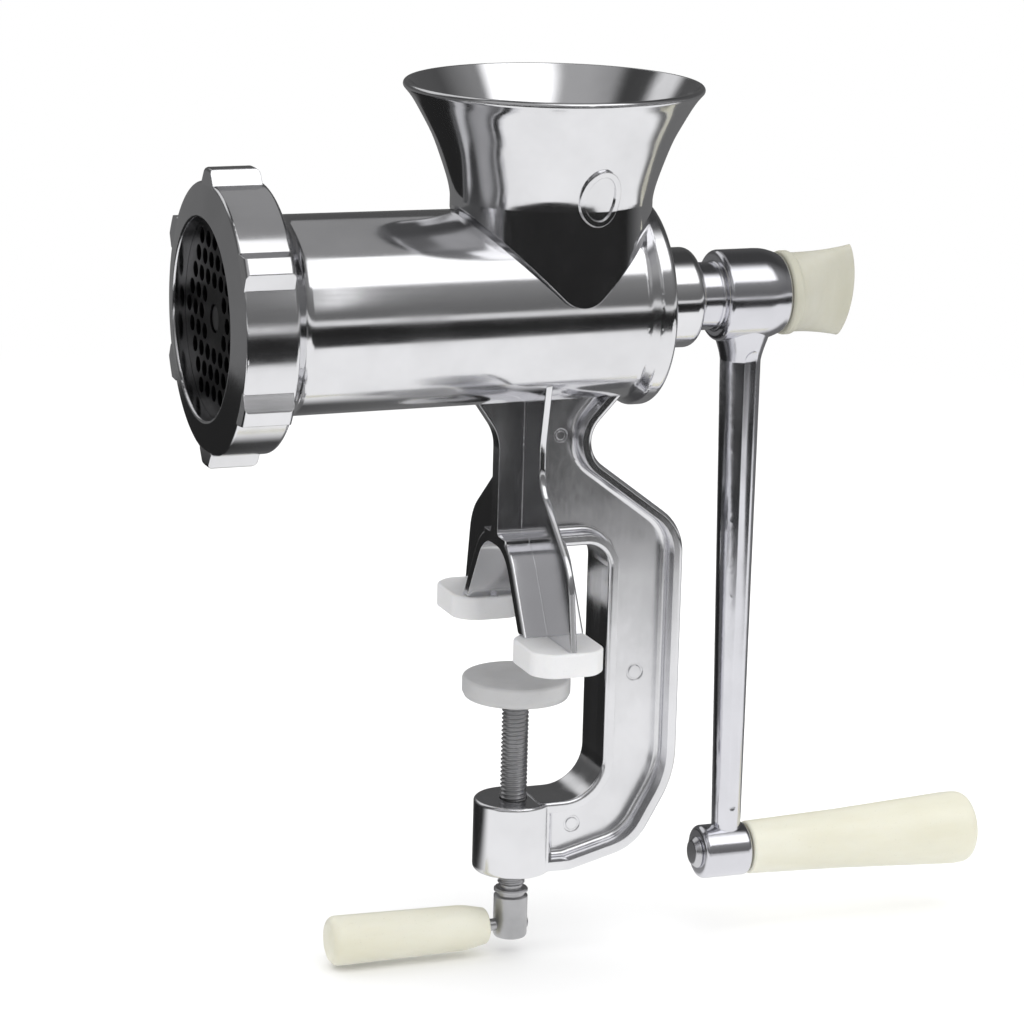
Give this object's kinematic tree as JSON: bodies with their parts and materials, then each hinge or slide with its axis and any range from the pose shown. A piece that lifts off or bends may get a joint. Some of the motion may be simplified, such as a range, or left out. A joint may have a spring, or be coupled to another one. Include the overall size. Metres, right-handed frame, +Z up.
{
  "type": "hand crank meat grinder",
  "caption": "Table-clamped hand mincer: trumpet hopper over a horizontal barrel with feed screw, knife, plate and lugged ring nut; crank with grip, C-frame clamp with screw and pads.",
  "frame": {"origin": "on the clamp screw's axis, at the level of the table top that the jaw pads rest on", "axes": "+Z up, +X from the outlet towards the crank along the barrel, so the outlet faces -X"},
  "size_m": [0.2443, 0.089, 0.2552],
  "materials": {
    "cast_aluminium": "polished cast aluminium",
    "ring_aluminium": "polished turned aluminium",
    "crank_metal": "polished cast crank",
    "tool_steel": "dark ground tool steel",
    "tinned_iron": "tinned feed screw",
    "screw_steel": "zinc plated screw steel",
    "ivory_plastic": "ivory moulded plastic, soft gloss",
    "white_plastic": "white moulded plastic",
    "bearing_nylon": "natural nylon"
  },
  "bodies": {
    "body": {"barrel": "cast_aluminium", "hopper": "cast_aluminium", "clamp_frame": "cast_aluminium", "left_jaw_pad": "white_plastic", "right_jaw_pad": "white_plastic", "bearing_bush": "bearing_nylon", "thrust_washer": "bearing_nylon", "plate_key_pin": "screw_steel"},
    "outlet_plate": {"cutting_plate": "tool_steel"},
    "outlet_ring": {"ring_nut": "ring_aluminium"},
    "drive": {"auger": "tinned_iron", "cross_knife": "tool_steel", "knife_stud": "screw_steel", "crank_arm": "crank_metal", "handle_spindle": "screw_steel"},
    "grip": {"crank_grip": "ivory_plastic"},
    "wing_stud": {"wing_screw_stud": "screw_steel"},
    "wing_head": {"wing_screw_head": "ivory_plastic"},
    "clamp_disc": {"pressure_disc": "white_plastic"},
    "clamp_spindle": {"clamp_screw": "screw_steel", "clamp_handle_pin": "screw_steel", "clamp_grip": "ivory_plastic"}
  },
  "joints": [
    {"name": "crank_turn", "type": "hinge", "parent": "body", "child": "drive", "pos_m": [0, 0, 0.0978], "axis": [-1, 0, 0], "continuous": true},
    {"name": "crank_grip_spin", "type": "hinge", "parent": "drive", "child": "grip", "pos_m": [0.1, 0, -0.0709], "axis": [1, 0, 0], "continuous": true},
    {"name": "wing_slide", "type": "slide", "parent": "drive", "child": "wing_stud", "axis": [1, 0, 0], "range_m": [0, 0.00751]},
    {"name": "wing_turn", "type": "hinge", "parent": "wing_stud", "child": "wing_head", "pos_m": [0.09, 0, 0.0978], "axis": [1, 0, 0], "range_deg": [0, 2160]},
    {"name": "plate_slide", "type": "slide", "parent": "body", "child": "outlet_plate", "axis": [-1, 0, 0], "range_m": [0, 0.01001]},
    {"name": "ring_turn", "type": "hinge", "parent": "outlet_plate", "child": "outlet_ring", "pos_m": [-0.09, 0, 0.0978], "axis": [-1, 0, 0], "range_deg": [0, 1440]},
    {"name": "jaw_slide", "type": "slide", "parent": "body", "child": "clamp_disc", "axis": [0, 0, 1], "range_m": [-0.03001, 0.00501]},
    {"name": "screw_turn", "type": "hinge", "parent": "clamp_disc", "child": "clamp_spindle", "pos_m": [0, 0, -0.05], "axis": [0, 0, 1], "range_deg": [-8640, 1440]}
  ],
  "couplings": [
    {"joint": "wing_slide", "follows": "wing_turn", "m_per_rad": 0.00019894},
    {"joint": "plate_slide", "follows": "ring_turn", "m_per_rad": 0.00039789},
    {"joint": "jaw_slide", "follows": "screw_turn", "m_per_rad": 0.00019894}
  ]
}
